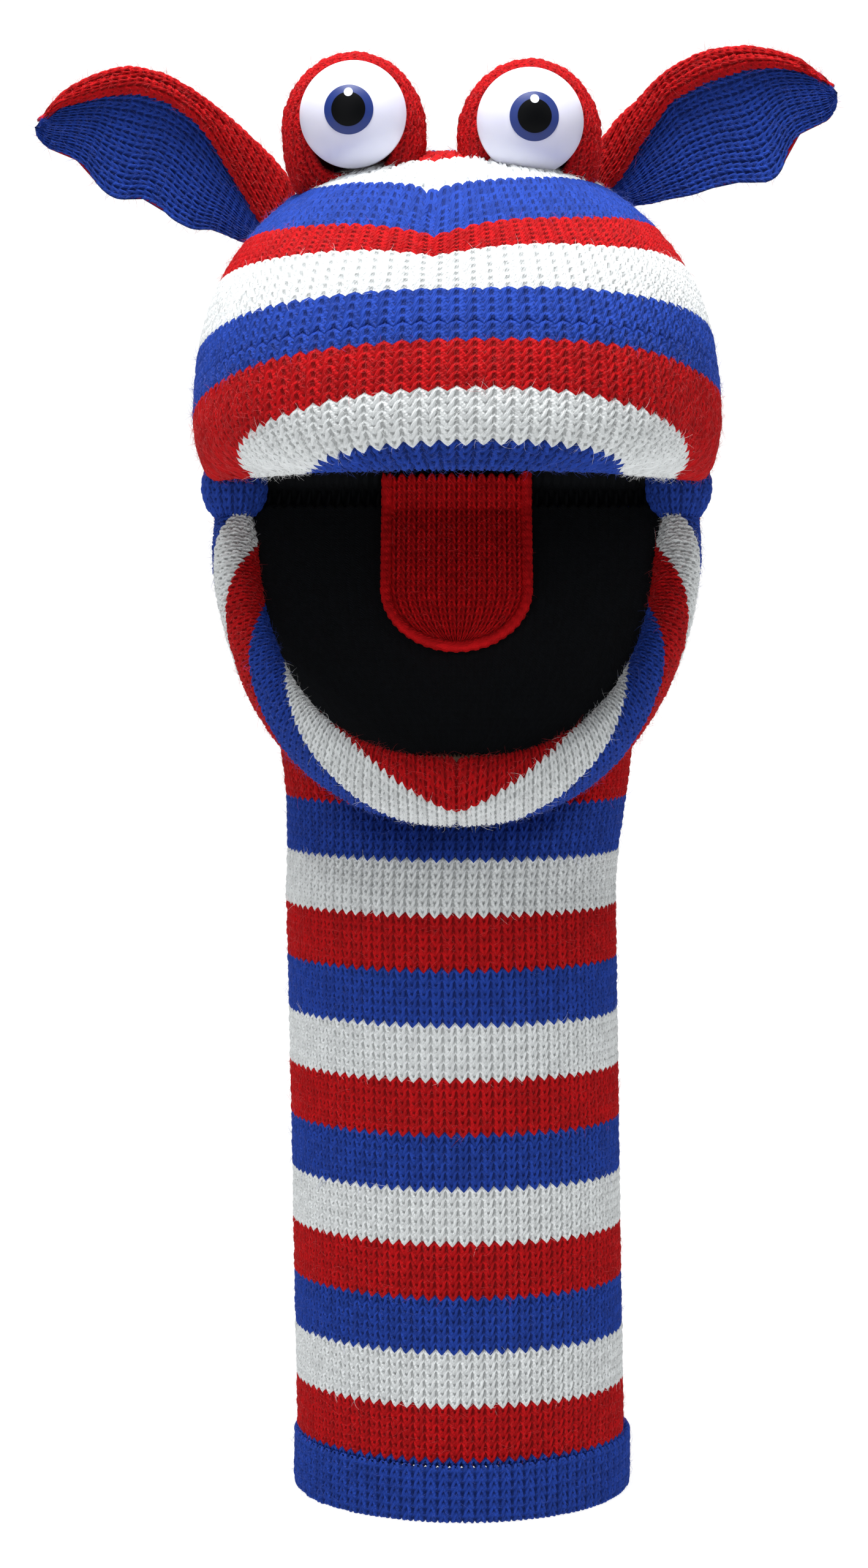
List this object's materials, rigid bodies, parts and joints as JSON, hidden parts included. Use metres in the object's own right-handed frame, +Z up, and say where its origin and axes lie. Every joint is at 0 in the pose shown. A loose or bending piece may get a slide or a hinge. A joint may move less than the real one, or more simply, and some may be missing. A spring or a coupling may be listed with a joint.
{
  "type": "sock puppet",
  "caption": "Knitted hand puppet made from a striped sock, with a sleeve for the arm, a padded head, a mouth that opens, a tongue, floppy ears and domed plastic eyes.",
  "frame": {"origin": "centre of the sleeve's hem at its lower edge", "axes": "+Z up along the sleeve, -Y the way the face looks, +X to the right seen from the front"},
  "size_m": [0.2104, 0.136, 0.3785],
  "materials": {
    "striped_knit": "soft knitted yarn in red, white and blue courses",
    "blue_knit": "soft blue knitted yarn",
    "red_knit": "soft red knitted yarn",
    "hem_thread": "blue sewing yarn",
    "red_thread": "red sewing yarn",
    "blue_thread": "blue sewing yarn",
    "black_lining": "fine black ribbed jersey",
    "pocket_fabric": "plain black lining cloth",
    "stuffing": "white polyester wadding",
    "mouth_board": "stiff grey-brown board",
    "eye_white": "glossy moulded plastic",
    "iris_blue": "glossy blue inlay",
    "pupil_black": "glossy black inlay",
    "glint_white": "glossy white inlay",
    "washer_plastic": "plain moulded nylon"
  },
  "bodies": {
    "arm": {"wrist_hem": "blue_knit", "hem_stitching": "hem_thread", "arm_sleeve": "striped_knit", "turning_stretch": "striped_knit"},
    "lower_neck": {"lower_neck_sleeve": "striped_knit", "tilting_stretch": "striped_knit"},
    "upper_neck": {"upper_neck_sleeve": "striped_knit", "nodding_stretch": "striped_knit"},
    "head": {"nape_skin": "striped_knit", "head_skin": "striped_knit", "upper_mouth_lining": "black_lining", "upper_mouth_board": "mouth_board", "finger_pocket": "pocket_fabric", "upper_jaw_padding": "stuffing", "forehead_seam": "blue_thread", "throat_fold": "striped_knit", "mouth_fold": "black_lining", "left_cheek_fold": "striped_knit", "right_cheek_fold": "striped_knit", "left_eye_dome": "eye_white", "left_iris": "iris_blue", "left_pupil": "pupil_black", "left_glint": "glint_white", "left_eye_washer": "washer_plastic", "left_eye_mound": "red_knit", "left_mound_filling": "stuffing", "left_ear_root": "red_knit", "right_eye_dome": "eye_white", "right_iris": "iris_blue", "right_pupil": "pupil_black", "right_glint": "glint_white", "right_eye_washer": "washer_plastic", "right_eye_mound": "red_knit", "right_mound_filling": "stuffing", "right_ear_root": "red_knit"},
    "left_ear": {"left_ear_back": "red_knit", "left_ear_lining": "blue_knit"},
    "right_ear": {"right_ear_back": "red_knit", "right_ear_lining": "blue_knit"},
    "lower_jaw": {"jaw_skin": "striped_knit", "lower_mouth_lining": "black_lining", "lower_mouth_board": "mouth_board", "thumb_pocket": "pocket_fabric", "lower_jaw_padding": "stuffing", "chin_seam": "red_thread"},
    "tongue": {"tongue_top": "red_knit", "tongue_underside": "red_knit", "tongue_stitched_edge": "red_thread"}
  },
  "joints": [
    {"name": "neck_turn", "type": "hinge", "parent": "arm", "child": "lower_neck", "pos_m": [0, 0, 0.07], "axis": [0, 0, 1], "range_deg": [-30, 30], "deforming": ["turning_stretch"]},
    {"name": "neck_tilt", "type": "hinge", "parent": "lower_neck", "child": "upper_neck", "pos_m": [0, 0, 0.12], "axis": [0, 1, 0], "range_deg": [-18, 18], "deforming": ["tilting_stretch"]},
    {"name": "head_nod", "type": "hinge", "parent": "upper_neck", "child": "head", "pos_m": [0, 0.005, 0.17], "axis": [1, 0, 0], "range_deg": [-28, 25], "deforming": ["nodding_stretch"]},
    {"name": "mouth", "type": "hinge", "parent": "head", "child": "lower_jaw", "pos_m": [0, 0, 0.265], "axis": [-1, 0, 0], "range_deg": [0, 44], "deforming": ["mouth_fold", "throat_fold", "left_cheek_fold", "right_cheek_fold"]},
    {"name": "tongue_lift", "type": "hinge", "parent": "lower_jaw", "child": "tongue", "pos_m": [0, -0.0043, 0.25823], "axis": [1, 0, 0], "range_deg": [-40, 0]},
    {"name": "left_ear_flop", "type": "hinge", "parent": "head", "child": "left_ear", "pos_m": [-0.05526, 0.002, 0.33795], "axis": [0.3223, 0, 0.9466], "range_deg": [-35, 35], "stiffness_Nm_per_rad": 0.02, "deforming": ["left_ear_root"]},
    {"name": "right_ear_flop", "type": "hinge", "parent": "head", "child": "right_ear", "pos_m": [0.04519, 0.002, 0.34464], "axis": [-0.3649, 0, 0.9311], "range_deg": [-35, 35], "stiffness_Nm_per_rad": 0.02, "deforming": ["right_ear_root"]}
  ]
}
